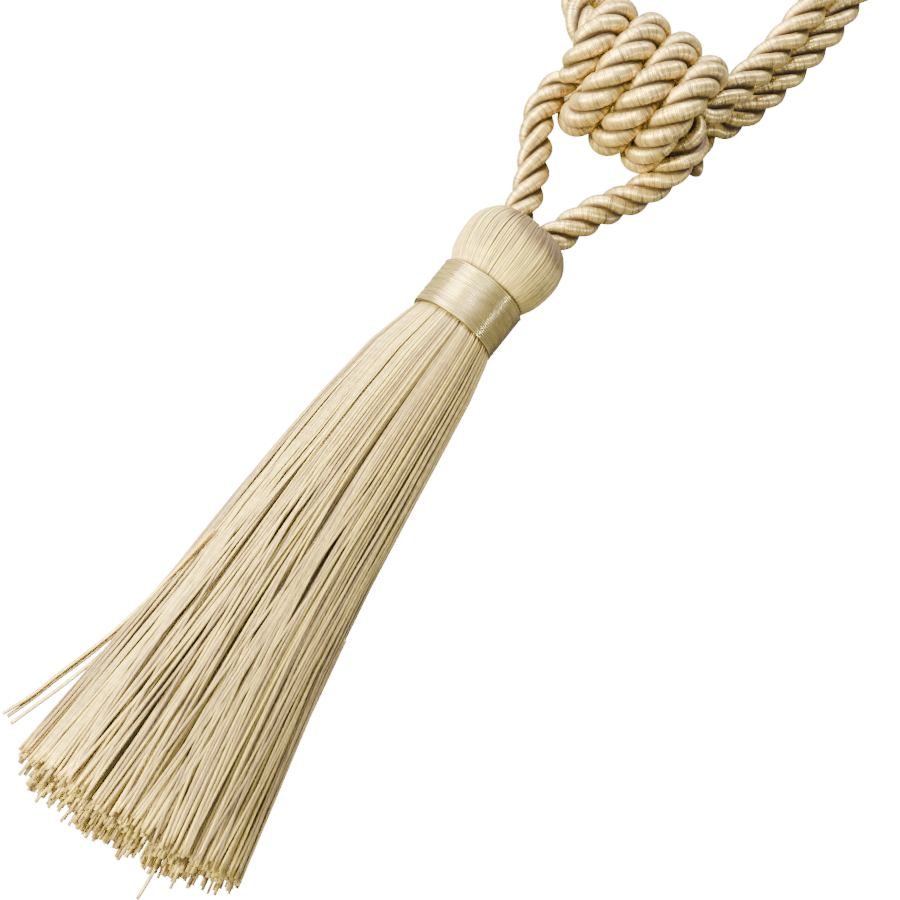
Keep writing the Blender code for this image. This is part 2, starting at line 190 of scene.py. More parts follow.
class MeshMaker:
    """Collects swept tubes and turns them into one object."""

    def __init__(self) -> None:
        """Starts with nothing in it."""
        self.points: list[np.ndarray] = []
        self.corners: list[np.ndarray] = []
        self.sizes: list[np.ndarray] = []
        self.patterns: list[np.ndarray] = []
        # Masks: painted shade, and each tube's tone.
        self.masks: dict[str, list[np.ndarray]] = {"shade_mask": [], "tone": []}
        self.count = 0

    def add_tubes(
        self,
        rings: np.ndarray,
        along: np.ndarray,
        shade_mask: np.ndarray,
        tone: np.ndarray,
        capped: bool = True,
    ) -> None:
        """Adds tubes that all have the same number of rings and of points in a ring.

        Args:
            rings: Array of tubes, rings, ring points, x y z, in millimetres of the layout.
            along: Distance along each tube at each ring.
            shade_mask: Painted shade at each point, most where it lies sunk between its neighbours,
                0 to 1.
            tone: Shade of each tube, 0 to 1.
            capped: Whether the ends are closed with a face.
        """
        tubes, count, sides = rings.shape[:3]
        index = np.arange(tubes * count * sides).reshape(tubes, count, sides) + self.count
        after = np.roll(index, -1, axis=2)
        quads = np.stack([index[:, :-1], after[:, :-1], after[:, 1:], index[:, 1:]], axis=-1)
        u = np.arange(sides + 1) / sides
        v = along[:, :, None] * np.ones(sides)
        low = np.broadcast_to(u[:-1], v.shape)
        high = np.broadcast_to(u[1:], v.shape)
        pattern = np.stack(
            [
                np.stack([low[:, :-1], v[:, :-1]], axis=-1),
                np.stack([high[:, :-1], v[:, :-1]], axis=-1),
                np.stack([high[:, 1:], v[:, 1:]], axis=-1),
                np.stack([low[:, 1:], v[:, 1:]], axis=-1),
            ],
            axis=-2,
        )
        self.corners.append(quads.reshape(-1))
        self.sizes.append(np.full(quads.size // 4, 4))
        self.patterns.append(pattern.reshape(-1, 2))
        if capped:
            ends = np.concatenate([index[:, 0, ::-1], index[:, -1]])
            self.corners.append(ends.reshape(-1))
            self.sizes.append(np.full(len(ends), sides))
            reach = np.repeat(np.concatenate([along[:, 0], along[:, -1]]), sides)
            self.patterns.append(reach[:, None] * (0, 1))
        self.points.append(rings.reshape(-1, 3))
        self.masks["shade_mask"].append(np.broadcast_to(shade_mask, rings.shape[:3]).reshape(-1))
        shade = np.broadcast_to(tone.reshape(tubes, 1, 1), rings.shape[:3])
        self.masks["tone"].append(shade.reshape(-1))
        self.count += tubes * count * sides

    def make(self, name: str, material: bpy.types.Material) -> bpy.types.Object:
        """Turns what was added into an object in the part's frame.

        Args:
            name: The object's name.
            material: Its finish.

        Returns:
            The object, linked to the scene.
        """
        points = (np.concatenate(self.points) - ORIGIN) * MM
        corners = np.concatenate(self.corners)
        sizes = np.concatenate(self.sizes)
        mesh = bpy.data.meshes.new(name)
        mesh.vertices.add(len(points))
        mesh.vertices.foreach_set("co", points.astype(np.float32).ravel())
        mesh.loops.add(len(corners))
        mesh.loops.foreach_set("vertex_index", corners.astype(np.int32))
        mesh.polygons.add(len(sizes))
        starts = np.concatenate([[0], np.cumsum(sizes)[:-1]])
        mesh.polygons.foreach_set("loop_start", starts.astype(np.int32))
        mesh.update(calc_edges=True)
        layer = mesh.uv_layers.new(name="Winding")
        layer.uv.foreach_set("vector", np.concatenate(self.patterns).astype(np.float32).ravel())
        for mask, values in self.masks.items():
            attribute = mesh.attributes.new(mask, "FLOAT", "POINT")
            attribute.data.foreach_set("value", np.concatenate(values).astype(np.float32))
        mesh.materials.append(material)
        mesh.shade_smooth()
        mesh.validate()
        item = bpy.data.objects.new(name, mesh)
        bpy.context.scene.collection.objects.link(item)
        return item


# ---------------------------------------------------------------------------------------------
# Finishes
# ---------------------------------------------------------------------------------------------


class NodeChain:
    """Short ways to place and link shader nodes in one tree."""

    def __init__(self, tree: bpy.types.NodeTree) -> None:
        """Keeps the tree that the nodes go into."""
        self.tree = tree

    def node(self, kind: str, **settings: object) -> bpy.types.Node:
        """Adds a node and sets its options.

        Args:
            kind: The node's Blender type.
            **settings: Options by name.

        Returns:
            The node.
        """
        made = self.tree.nodes.new(kind)
        for key, value in settings.items():
            setattr(made, key, value)
        return made

    def feed(self, socket: bpy.types.NodeSocket, value: object) -> None:
        """Links a socket to another one, or sets its number or colour.

        Args:
            socket: The socket that is fed.
            value: The other socket, or the number or colour.
        """
        if isinstance(value, bpy.types.NodeSocket):
            self.tree.links.new(value, socket)
        else:
            socket.default_value = value

    def math(self, operation: str, *values: object, clamp: bool = False) -> bpy.types.NodeSocket:
        """Adds a Math node.

        Args:
            operation: What it does.
            *values: Sockets or numbers for its inputs.
            clamp: Whether the result is kept from 0 to 1.

        Returns:
            Its output.
        """
        made = self.node("ShaderNodeMath", operation=operation, use_clamp=clamp)
        for socket, value in zip(made.inputs, values):
            self.feed(socket, value)
        return made.outputs[0]

    def blend(self, factor: object, first: object, second: object) -> bpy.types.NodeSocket:
        """Mixes two colours.

        Args:
            factor: Share of the second colour.
            first: First colour or socket.
            second: Second colour or socket.

        Returns:
            The mixed colour.
        """
        made = self.node("ShaderNodeMix", data_type="RGBA")
        self.feed(made.inputs[0], factor)
        self.feed(made.inputs[6], first)
        self.feed(made.inputs[7], second)
        return made.outputs[2]

    def mask(self, name: str) -> bpy.types.NodeSocket:
        """Reads one of the pieces' masks."""
        return self.node("ShaderNodeAttribute", attribute_name=name).outputs["Fac"]

    def noise(
        self, x: object, y: object, seed: object, stretch: Point, detail: float
    ) -> bpy.types.NodeSocket:
        """Adds a noise texture over two coordinates.

        Args:
            x: First coordinate.
            y: Second coordinate.
            seed: Third coordinate, which tells one pattern from another.
            stretch: Scales of the first two coordinates.
            detail: The noise's detail.

        Returns:
            Its value, about 0.5 on average.
        """
        place = self.node("ShaderNodeCombineXYZ")
        self.feed(place.inputs[0], self.math("MULTIPLY", x, stretch[0]))
        self.feed(place.inputs[1], self.math("MULTIPLY", y, stretch[1]))
        self.feed(place.inputs[2], seed)
        made = self.node("ShaderNodeTexNoise")
        self.feed(made.inputs["Vector"], place.outputs[0])
        made.inputs["Scale"].default_value = 1.0
        made.inputs["Detail"].default_value = detail
        return made.outputs["Fac"]

    def spread(self, value: object, low: float, high: float) -> bpy.types.NodeSocket:
        """Stretches a range to 0 to 1, smoothly and clamped.

        Args:
            value: The socket that is stretched.
            low: Where the range starts.
            high: Where it ends.

        Returns:
            The stretched value.
        """
        made = self.node("ShaderNodeMapRange", interpolation_type="SMOOTHSTEP")
        self.feed(made.inputs[0], value)
        made.inputs[1].default_value = low
        made.inputs[2].default_value = high
        return made.outputs[0]


def new_group(name: str, inputs: dict[str, str], outputs: dict[str, str]) -> bpy.types.NodeTree:
    """Makes an empty shader node group with named sockets.

    Args:
        name: The group's name.
        inputs: Socket kinds by name.
        outputs: Socket kinds by name.

    Returns:
        The group, with its input and output nodes in it.
    """
    group = bpy.data.node_groups.new(name, "ShaderNodeTree")
    for label, kind in inputs.items():
        group.interface.new_socket(name=label, in_out="INPUT", socket_type=kind)
    for label, kind in outputs.items():
        group.interface.new_socket(name=label, in_out="OUTPUT", socket_type=kind)
    group.nodes.new("NodeGroupInput")
    group.nodes.new("NodeGroupOutput")
    return group


class WindingGroup:
    """Node group that draws threads lying side by side, from a winding map in millimetres."""

    INPUTS = {
        "Spacing": "NodeSocketFloat",
        "Lean": "NodeSocketFloat",
        "Wander": "NodeSocketFloat",
    }
    OUTPUTS = {"Ridge": "NodeSocketFloat", "Streak": "NodeSocketFloat", "Patch": "NodeSocketFloat"}
    SEED_STEP = 37.0
    DRIFT_STRETCH = (2.0, 0.25)
    FINE_STRETCH = (1.6, 0.62)
    BROAD_STRETCH = (1.0, 0.12)
    DETAIL = 2.0
    FINE_DETAIL = 3.0
    RIDGE_SHARE = 0.45
    FINE_SHARE = 0.9
    # Share of each thread's ridge in its tone: painted shade, darker between the threads.
    RIDGE_SHADE = 0.16
    STREAK_RANGE = (0.36, 0.78)
    PATCH_RANGE = (0.3, 0.7)

    def build(self) -> bpy.types.NodeTree:
        """Builds the group.

        Returns:
            The group, with Ridge as height, Streak as thread tone with a little painted shade
            between threads, and Patch as a broad tone.
        """
        group = new_group("thread_winding", self.INPUTS, self.OUTPUTS)
        chain = NodeChain(group)
        given = group.nodes["Group Input"].outputs
        place = chain.node("ShaderNodeUVMap", uv_map="Winding")
        split = chain.node("ShaderNodeSeparateXYZ")
        chain.feed(split.inputs[0], place.outputs[0])
        around, along = split.outputs[0], split.outputs[1]
        seed = chain.math("MULTIPLY", chain.mask("tone"), self.SEED_STEP)
        lines = chain.math("DIVIDE", along, given["Spacing"])
        leaned = chain.math("MULTIPLY_ADD", around, given["Lean"], lines)
        drift = chain.noise(around, along, seed, self.DRIFT_STRETCH, self.DETAIL)
        bent = chain.math("MULTIPLY_ADD", drift, given["Wander"], leaned)
        wave = chain.math("SINE", chain.math("MULTIPLY", bent, 2 * math.pi))
        ridge = chain.math("MULTIPLY_ADD", wave, 0.5, 0.5)
        fine = chain.noise(around, bent, seed, self.FINE_STRETCH, self.FINE_DETAIL)
        broad = chain.noise(around, along, seed, self.BROAD_STRETCH, self.DETAIL)
        fibres = chain.math("MULTIPLY", fine, self.FINE_SHARE)
        height = chain.math("MULTIPLY_ADD", ridge, self.RIDGE_SHARE, fibres)
        streak = chain.math("MULTIPLY_ADD", ridge, self.RIDGE_SHADE, fine)
        result = group.nodes["Group Output"].inputs
        chain.feed(result["Ridge"], height)
        chain.feed(result["Streak"], chain.spread(streak, *self.STREAK_RANGE))
        chain.feed(result["Patch"], chain.spread(broad, *self.PATCH_RANGE))
        return group


class DyeGroup:
    """Node group that colours yarn by its threads and its broad tone, and paints shade by a mask.
    """

    INPUTS = {
        "Light": "NodeSocketColor",
        "Dark": "NodeSocketColor",
        "Painted shade": "NodeSocketColor",
        "Streak": "NodeSocketFloat",
        "Patch": "NodeSocketFloat",
        "Contrast": "NodeSocketFloat",
        "Tone share": "NodeSocketFloat",
    }
    OUTPUTS = {"Color": "NodeSocketColor", "Depth": "NodeSocketFloat"}
    PATCH_SHARE = 0.22

    def build(self) -> bpy.types.NodeTree:
        """Builds the group.

        Returns:
            The group, with the colour that has the painted shade in it, and the painted shade mask.
        """
        group = new_group("yarn_dye", self.INPUTS, self.OUTPUTS)
        chain = NodeChain(group)
        given = group.nodes["Group Input"].outputs
        shade_mask, tone = chain.mask("shade_mask"), chain.mask("tone")
        squared = chain.math("MULTIPLY", tone, tone)
        threads = chain.math("SUBTRACT", 1.0, given["Streak"])
        base = chain.math("MULTIPLY", threads, given["Contrast"])
        shade = chain.math("MULTIPLY_ADD", squared, given["Tone share"], base)
        patch = chain.math("MULTIPLY_ADD", given["Patch"], self.PATCH_SHARE, shade, clamp=True)
        yarn = chain.blend(patch, given["Light"], given["Dark"])
        result = group.nodes["Group Output"].inputs
        # Painted shade: the colour goes towards the shade colour as far as the mask says.
        chain.feed(result["Color"], chain.blend(shade_mask, yarn, given["Painted shade"]))
        chain.feed(result["Depth"], shade_mask)
        return group


@dataclass(frozen=True)
class YarnFinish:
    """One kind of thread or yarn: its colours, its painted shade colour, how it is wound and how it
    shines.
    """

    name: str
    light: Colour
    dark: Colour
    # Colour of the painted shade in grooves, hollows, gaps and the skirt's inside.
    painted_shade: Colour
    spacing: float
    lean: float = 0.0
    wander: float = 0.4
    contrast: float = 0.6
    tone_share: float = 0.2
    gloss: float = 0.36
    gloss_spread: float = 0.16
    shade_rough: float = 0.3
    metal: float = 0.3
    bump: float = 0.06
    sheen: float = 0.15
    sheen_rough: float = 0.4
    specular: float = 0.5

    def material(self, winding: bpy.types.NodeTree, dye: bpy.types.NodeTree) -> bpy.types.Material:
        """Makes the Blender material.

        Args:
            winding: The node group that draws the threads.
            dye: The node group that colours them.

        Returns:
            The material.
        """
        made = bpy.data.materials.new(self.name)
        made.use_nodes = True
        tree = made.node_tree
        chain = NodeChain(tree)
        shader = tree.nodes["Principled BSDF"]
        threads = chain.node("ShaderNodeGroup", node_tree=winding)
        for label, value in (
            ("Spacing", self.spacing),
            ("Lean", self.lean),
            ("Wander", self.wander),
        ):
            threads.inputs[label].default_value = value
        colour = chain.node("ShaderNodeGroup", node_tree=dye)
        for label, tint in (("Light", self.light), ("Dark", self.dark), ("Painted shade", self.painted_shade)):
            colour.inputs[label].default_value = (*tint, 1.0)
        colour.inputs["Contrast"].default_value = self.contrast
        colour.inputs["Tone share"].default_value = self.tone_share
        chain.feed(colour.inputs["Streak"], threads.outputs["Streak"])
        chain.feed(colour.inputs["Patch"], threads.outputs["Patch"])
        chain.feed(shader.inputs["Base Color"], colour.outputs["Color"])
        dull = self.gloss + self.gloss_spread
        sheer = chain.math("MULTIPLY_ADD", threads.outputs["Streak"], -self.gloss_spread, dull)
        shade_mask = colour.outputs["Depth"]
        rough = chain.math("MULTIPLY_ADD", shade_mask, self.shade_rough, sheer, clamp=True)
        chain.feed(shader.inputs["Roughness"], rough)
        bump = chain.node("ShaderNodeBump")
        bump.inputs["Strength"].default_value = 1.0
        bump.inputs["Distance"].default_value = self.bump * MM
        chain.feed(bump.inputs["Height"], threads.outputs["Ridge"])
        chain.feed(shader.inputs["Normal"], bump.outputs["Normal"])
        shader.inputs["Metallic"].default_value = self.metal
        shader.inputs["Sheen Weight"].default_value = self.sheen
        shader.inputs["Sheen Roughness"].default_value = self.sheen_rough
        shader.inputs["Sheen Tint"].default_value = (*self.light, 1.0)
        shader.inputs["Specular IOR Level"].default_value = self.specular
        return made


ROPE_SATIN = YarnFinish(
    name="rope_satin",
    light=(0.86, 0.62, 0.145),
    dark=(0.16, 0.108, 0.06),
    painted_shade=(0.072, 0.044, 0.028),
    spacing=0.45,
    wander=0.8,
    contrast=0.85,
    tone_share=0.0,
    gloss=0.26,
    metal=0.7,
    bump=0.14,
)
BAND_SATIN = YarnFinish(
    name="band_thread",
    light=(0.87, 0.68, 0.23),
    dark=(0.19, 0.14, 0.085),
    painted_shade=(0.04, 0.028, 0.016),
    spacing=30.0,
    lean=1.5,
    contrast=0.6,
    gloss=0.17,
    metal=0.8,
    bump=0.02,
    gloss_spread=0.1,
)
SKIRT_YARN = YarnFinish(
    name="skirt_yarn",
    light=(0.88, 0.66, 0.135),
    dark=(0.26, 0.17, 0.085),
    painted_shade=(0.06, 0.04, 0.024),
    spacing=3.0,
    lean=4.0,
    wander=0.8,
    contrast=0.55,
    tone_share=0.75,
    gloss=0.31,
    metal=0.4,
    bump=0.06,
)
HEAD_YARN = YarnFinish(
    name="head_yarn",
    light=(0.87, 0.67, 0.145),
    dark=(0.26, 0.175, 0.085),
    painted_shade=(0.08, 0.048, 0.024),
    spacing=3.0,
    lean=3.0,
    wander=0.8,
    contrast=0.5,
    tone_share=0.5,
    gloss=0.34,
    metal=0.35,
    bump=0.06,
)


# ---------------------------------------------------------------------------------------------
# Ropes
# ---------------------------------------------------------------------------------------------

ROPE_RADIUS = 5.4
CORE_RADIUS = 4.2
EXIT_RADIUS = 4.7


class Side(Enum):
    """The half of the tie that a rope belongs to."""

    LEFT = -1
    RIGHT = 1


def with_radius(points: list[Point], radius: float = ROPE_RADIUS) -> list[Point]:
    """Adds the rope's radius to each point."""
    return [(*point, radius) for point in points]


@dataclass
class KnotPlan:
    """Where the barrel knot lies and how the ropes run through it and round it."""

    centre: Point = (57.6, 114.8)
    height: float = 22.5
    angle: float = math.radians(-32.0)
    coil_step: float = 11.25
    wraps: int = 4
    coil_steps: int = 16
    core_spacing: float = 4.2
    core_half: float = 14.5
    core_gap: float = 0.42
    core_step: float = 5.0
    left_turn: float = math.radians(215.0)
    right_turn: float = math.radians(142.0)
    last_turn: float = 3.24
    start: tuple[Point, ...] = ((-17.4, -9.8, 28.6), (-17.2, -7.6, 32.6))
    radii: tuple[Point, ...] = (
        (0.0, 14.8),
        (0.5, 17.2),
        (0.75, 17.8),
        (1.0, 17.3),
        (1.5, 17.2),
        (1.75, 17.8),
        (2.0, 17.3),
        (2.5, 17.2),
        (2.75, 17.0),
        (3.0, 17.3),
        (3.24, 15.7),
    )

    def point(self, along: float, across: float, height: float) -> Point:
        """Goes from the knot's own axis to the layout.

        Args:
            along: Distance along the knot's axis.
            across: Distance to its side.
            height: Height above the floor.

        Returns:
            The point in the layout.
        """
        axis = (math.cos(self.angle), math.sin(self.angle))
        return (
            self.centre[0] + along * axis[0] - across * axis[1],
            self.centre[1] + along * axis[1] + across * axis[0],
            height,
        )

    def coil_point(self, turn: float) -> Point:
        """Gives the knot rope's middle after a number of turns.

        Args:
            turn: The number of turns.

        Returns:
            The point in the layout.
        """
        angle = 2 * math.pi * turn
        radius = float(np.interp(turn, *zip(*self.radii)))
        along = self.coil_step * (turn - (self.wraps - 1) / 2)
        return self.point(along, radius * math.sin(angle), self.height + radius * math.cos(angle))

    def core_run(self, start: float, end: float, opposite: bool) -> list[Point]:
        """Gives the run of one of the two ropes through the knot.

        Args:
            start: Where it starts, along the knot's axis.
            end: Where it ends.
            opposite: Whether it is the second of the two ropes.

        Returns:
            Points of the run.
        """
        count = max(2, round(abs(end - start) / self.core_step)) + 1
        run = []
        for along in np.linspace(start, end, count):
            share = (along + self.core_half) / (2 * self.core_half)
            angle = self.left_turn + share * (self.right_turn - self.left_turn)
            angle += math.pi if opposite else 0.0
            across = self.core_spacing * math.cos(angle)
            run.append(self.point(along, across, self.height + self.core_spacing * math.sin(angle)))
        return run

    def wrap_points(self) -> list[Point]:
        """Gives the route of the rope that is wound round the knot.

        Returns:
            Points of the route with the rope's radius.
        """
        start = [self.point(*row) for row in self.start]
        count = round(self.last_turn * self.coil_steps)
        coil = [self.coil_point(turn) for turn in np.linspace(0.0, self.last_turn, count + 1)]
        return (
            with_radius(start, EXIT_RADIUS)
            + with_radius(coil[:-2])
            + with_radius(coil[-2:], EXIT_RADIUS)
        )


@dataclass
class TwistedRope:
    """A three-ply rope whose plies are wound with satin thread."""

    name: str
    node: str
    points: list[Point]
    pitch: float = 25.0
    step: float = 0.95
    plies: int = 3
    fullness: float = 1.0
    offset: float = 0.51
    radial: float = 0.49
    tangential: float = 0.44
    crown_points: int = 17
    crown_reach: float = math.radians(104.0)
    back: Point = (142.0, 180.0, 218.0)
    # Painted shade in the grooves between plies: the section angle where it starts, how far it
    # grows and how steeply.
    ply_shade_from: float = math.radians(44.0)
    ply_shade_over: float = math.radians(32.0)
    ply_shade_power: float = 1.7
    tone: float = 0.3

    def line(self) -> np.ndarray:
        """Gives the rope's middle line with its radius."""
        return smooth_line(self.points, self.step)

    def build(self, material: bpy.types.Material) -> bpy.types.Object:
        """Twists the plies round the middle line.

        Args:
            material: The finish of the plies.

        Returns:
            The rope's object.
        """
        line = self.line()
        middle, radius = line[None, :, :3], line[:, 3] * self.fullness
        first, second = frames_along(middle)
        along = distances(middle)[0]
        maker = MeshMaker()
        crown = np.linspace(-self.crown_reach, self.crown_reach, self.crown_points)
        section = np.concatenate([crown, np.radians(self.back)])
        lines, arms = [], []
        for ply in range(self.plies):
            turn = 2 * math.pi * (along / self.pitch + ply / self.plies)
            out = np.cos(turn)[:, None] * first[0] + np.sin(turn)[:, None] * second[0]
            lines.append(middle[0] + self.offset * radius[:, None] * out)
            arms.append(out)
        centres, outward = np.stack(lines), np.stack(arms)
        ahead = tangents_of(centres)
        outward = unit(outward - np.sum(outward * ahead, axis=-1, keepdims=True) * ahead)
        across = np.cross(ahead, outward)
        reach = radius[None, :, None, None]
        rings = (
            centres[:, :, None]
            + reach * self.radial * np.cos(section)[:, None] * outward[:, :, None]
            + reach * self.tangential * np.sin(section)[:, None] * across[:, :, None]
        )
        rings[..., 2] = np.maximum(rings[..., 2], 0.0)
        # Painted shade on each ply's sides, darkest in the grooves between plies.
        angle = np.abs(section_angle(section))
        ply_shade = np.clip((angle - self.ply_shade_from) / self.ply_shade_over, 0, 1) ** self.ply_shade_power
        maker.add_tubes(rings, distances(centres), ply_shade, np.full(self.plies, self.tone))
        item = maker.make(self.name, material)
        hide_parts(self.node)
        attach(item, "root")
        return item


@dataclass
class TasselRopes:
    """The rope that carries the tassel and the rope wound round the knot."""

    knot: KnotPlan
    left_leg: tuple[Point, ...] = (
        (16.9, 66.3, 16.3),
        (20.9, 71.7, 16.4),
        (24.3, 78.6, 16.4),
        (26.8, 87.0, 16.0),
        (28.2, 96.0, 15.4),
        (29.0, 104.2, 15.0),
        (31.8, 111.0, 15.2),
        (36.4, 116.8, 16.8),
    )
    right_leg: tuple[Point, ...] = (
        (25.8, 59.3, 16.3),
        (30.2, 64.6, 16.4),
        (37.1, 69.4, 16.6),
        (46.9, 75.5, 16.8),
        (57.0, 79.9, 17.2),
        (66.5, 85.6, 20.4),
        (71.4, 90.3, 24.2),
        (75.0, 95.0, 26.8),
        (75.0, 99.8, 27.6),
    )

    def build(self, material: bpy.types.Material) -> list[bpy.types.Object]:
        """Builds both ropes.

        Args:
            material: The finish of the ropes.

        Returns:
            The two pieces.
        """
        half = self.knot.core_half
        carrier = (
            with_radius(list(self.left_leg[:-1]))
            + with_radius([self.left_leg[-1]], EXIT_RADIUS)
            + with_radius(self.knot.core_run(-half, half, False), CORE_RADIUS)
            + with_radius([self.right_leg[-1]], EXIT_RADIUS)
            + with_radius(list(self.right_leg[-2::-1]))
        )
        ropes = (
            TwistedRope("tassel_rope", "tassel_loop", carrier, pitch=24.5),
            TwistedRope(
                "knot_rope",
                "knot_wraps",
                self.knot.wrap_points(),
                pitch=24.0,
                fullness=1.13,
                tangential=0.47,
            ),
        )
        return [rope.build(material) for rope in ropes]


@dataclass
class TieLoop:
    """One half of the tie: from the knot's middle out, round the end loop and back."""

    knot: KnotPlan
    side: Side
    name: str
    node: str
    out: tuple[Point, ...]
    arm: tuple[Point, ...]
    tip: Point
    back: tuple[Point, ...]
    tuck: tuple[Point, ...] = ()
    pitch: float = 29.0
    # Where the painted shade in the grooves between the plies starts.
    ply_shade_from: float = math.radians(50.0)
    start_radius: float = 5.2

    def route(self) -> list[Point]:
        """Gives the route, with the arm's two runs laid side by side.

        Returns:
            Points of the route with the rope's radius.
        """
        sign = self.side.value
        middle = np.array([row[:2] for row in self.arm], float)
        forward = unit(np.gradient(middle, axis=0))
        left = np.stack([-forward[:, 1], forward[:, 0]], axis=1)
        half = np.array([row[3] for row in self.arm])[:, None]
        height = [row[2] for row in self.arm]
        there = [(*p, z) for p, z in zip(middle + half * left, height)]
        again = [(*p, z) for p, z in zip(middle - half * left, height)]
        core = self.knot.core_run(sign * self.knot.core_gap / 2, sign * self.knot.core_half, True)
        run = list(self.out[2:]) + there + [self.tip] + again[::-1] + list(self.back)
        return (
            with_radius(core, CORE_RADIUS)
            + with_radius(list(self.out[:2]), self.start_radius)
            + with_radius(run)
            + list(self.tuck)
        )

    def build(self, material: bpy.types.Material) -> bpy.types.Object:
        """Args:
            material: The rope's finish.

        Returns:
            The piece.
        """
        rope = TwistedRope(
            self.name, self.node, self.route(), pitch=self.pitch, ply_shade_from=self.ply_shade_from
        )
        item = rope.build(material)
        return item


def left_loop(knot: KnotPlan) -> TieLoop:
    """Gives the left half of the tie.

    Args:
        knot: The knot that it leaves.

    Returns:
        The half with its route.
    """
    return TieLoop(
        knot,
        Side.LEFT,
        "left_tie_rope",
        "tie_loop_left",
        out=(
            (43.8, 130.6, 23.0),
            (42.0, 136.8, 20.8),
            (42.2, 144.4, 17.2),
            (42.0, 153.0, 12.8),
        ),
        arm=(
            (44.6, 166.0, 6.8, 5.8),
            (41.2, 184.0, 5.4, 5.8),
            (38.6, 204.0, 5.4, 5.8),
            (39.6, 224.0, 5.4, 5.8),
            (42.2, 242.0, 5.4, 6.4),
            (45.8, 257.0, 5.4, 11.0),
            (49.6, 271.0, 5.4, 17.4),
            (53.4, 284.0, 5.4, 20.6),
            (57.2, 297.0, 5.4, 18.6),
            (60.0, 306.6, 5.4, 11.0),
        ),
        tip=(61.4, 311.4, 5.4),
        back=((52.4, 152.0, 7.0), (51.8, 146.0, 6.2)),
        tuck=((51.4, 141.6, 5.5, 5.2), (51.2, 138.0, 4.7, 4.0)),
    )


def right_loop(knot: KnotPlan) -> TieLoop:
    """Gives the right half of the tie.

    Args:
        knot: The knot that it leaves.

    Returns:
        The half with its route.
    """
    return TieLoop(
        knot,
        Side.RIGHT,
        "right_tie_rope",
        "tie_loop_right",
        out=(
            (81.5, 107.2, 20.2),
            (87.8, 112.8, 19.8),
            (93.9, 118.4, 18.6),
            (100.2, 124.8, 16.6),
            (107.2, 132.4, 14.8),
            (114.2, 140.8, 13.8),
            (120.6, 149.6, 12.6),
            (126.0, 160.6, 9.6),
        ),
        arm=(
            (137.0, 169.0, 5.7, 5.8),
            (141.6, 187.0, 5.4, 5.8),
            (142.8, 206.0, 5.4, 5.8),
            (141.0, 225.0, 5.4, 5.8),
            (137.2, 242.0, 5.4, 6.4),
            (132.8, 257.0, 5.4, 11.0),
            (128.4, 271.0, 5.4, 17.4),
            (124.4, 284.0, 5.4, 20.6),
            (120.4, 297.0, 5.4, 18.6),
            (117.4, 306.6, 5.4, 11.0),
        ),
        tip=(115.8, 311.4, 5.4),
        back=(
            (137.3, 157.9, 5.4),
            (131.3, 150.1, 5.4),
            (127.0, 143.4, 5.4),
            (121.0, 136.6, 5.4),
            (114.8, 129.8, 5.4),
            (107.8, 122.8, 5.4),
            (100.2, 115.6, 5.4),
            (92.2, 110.0, 5.4),
            (86.0, 108.2, 5.4),
            (82.2, 104.4, 5.4),
            (80.0, 99.2, 5.4),
            (77.6, 94.2, 5.4),
        ),
    )


# ---------------------------------------------------------------------------------------------
# Tassel
# ---------------------------------------------------------------------------------------------


@dataclass
class NeckPlan:
    """Where the tassel's neck lies and which way its head and its skirt point."""

    x: float = 0.7
    y: float = 36.8
    height: float = 16.3
    head_angle: float = math.radians(51.7)
    skirt_angle: float = math.radians(57.85)
    round_from: float = 0.7

    def head_points(self, up: np.ndarray, radius: np.ndarray, angle: np.ndarray) -> np.ndarray:
        """Places points of the head or band.

        Args:
            up: Distance up the head's axis.
            radius: Distance from it.
            angle: Angle round it, from its side.

        Returns:
            The points in the layout.
        """
        across = radius * np.cos(angle)
        cos, sin = math.cos(self.head_angle), math.sin(self.head_angle)
        return np.stack(
            [
                self.x + up * cos + across * sin,
                self.y + up * sin - across * cos,
                self.height + radius * np.sin(angle),
            ],
            axis=-1,
        )

    def outward(self, lines: np.ndarray) -> np.ndarray:
        """Gives the direction away from the neck across lines that run along or round it.

        Args:
            lines: Middle lines of threads on the head or band.

        Returns:
            Unit vectors square to the lines and away from the neck.
        """
        axis = np.array((math.cos(self.head_angle), math.sin(self.head_angle), 0.0))
        arms = lines - np.array((self.x, self.y, self.height))
        radial = unit(arms - (arms @ axis)[..., None] * axis)
        ahead = tangents_of(lines)
        across = np.cross(axis, radial)
        running = np.abs(np.sum(across * ahead, axis=-1, keepdims=True)) < self.round_from
        return np.where(running, unit(np.cross(across, ahead)), radial)


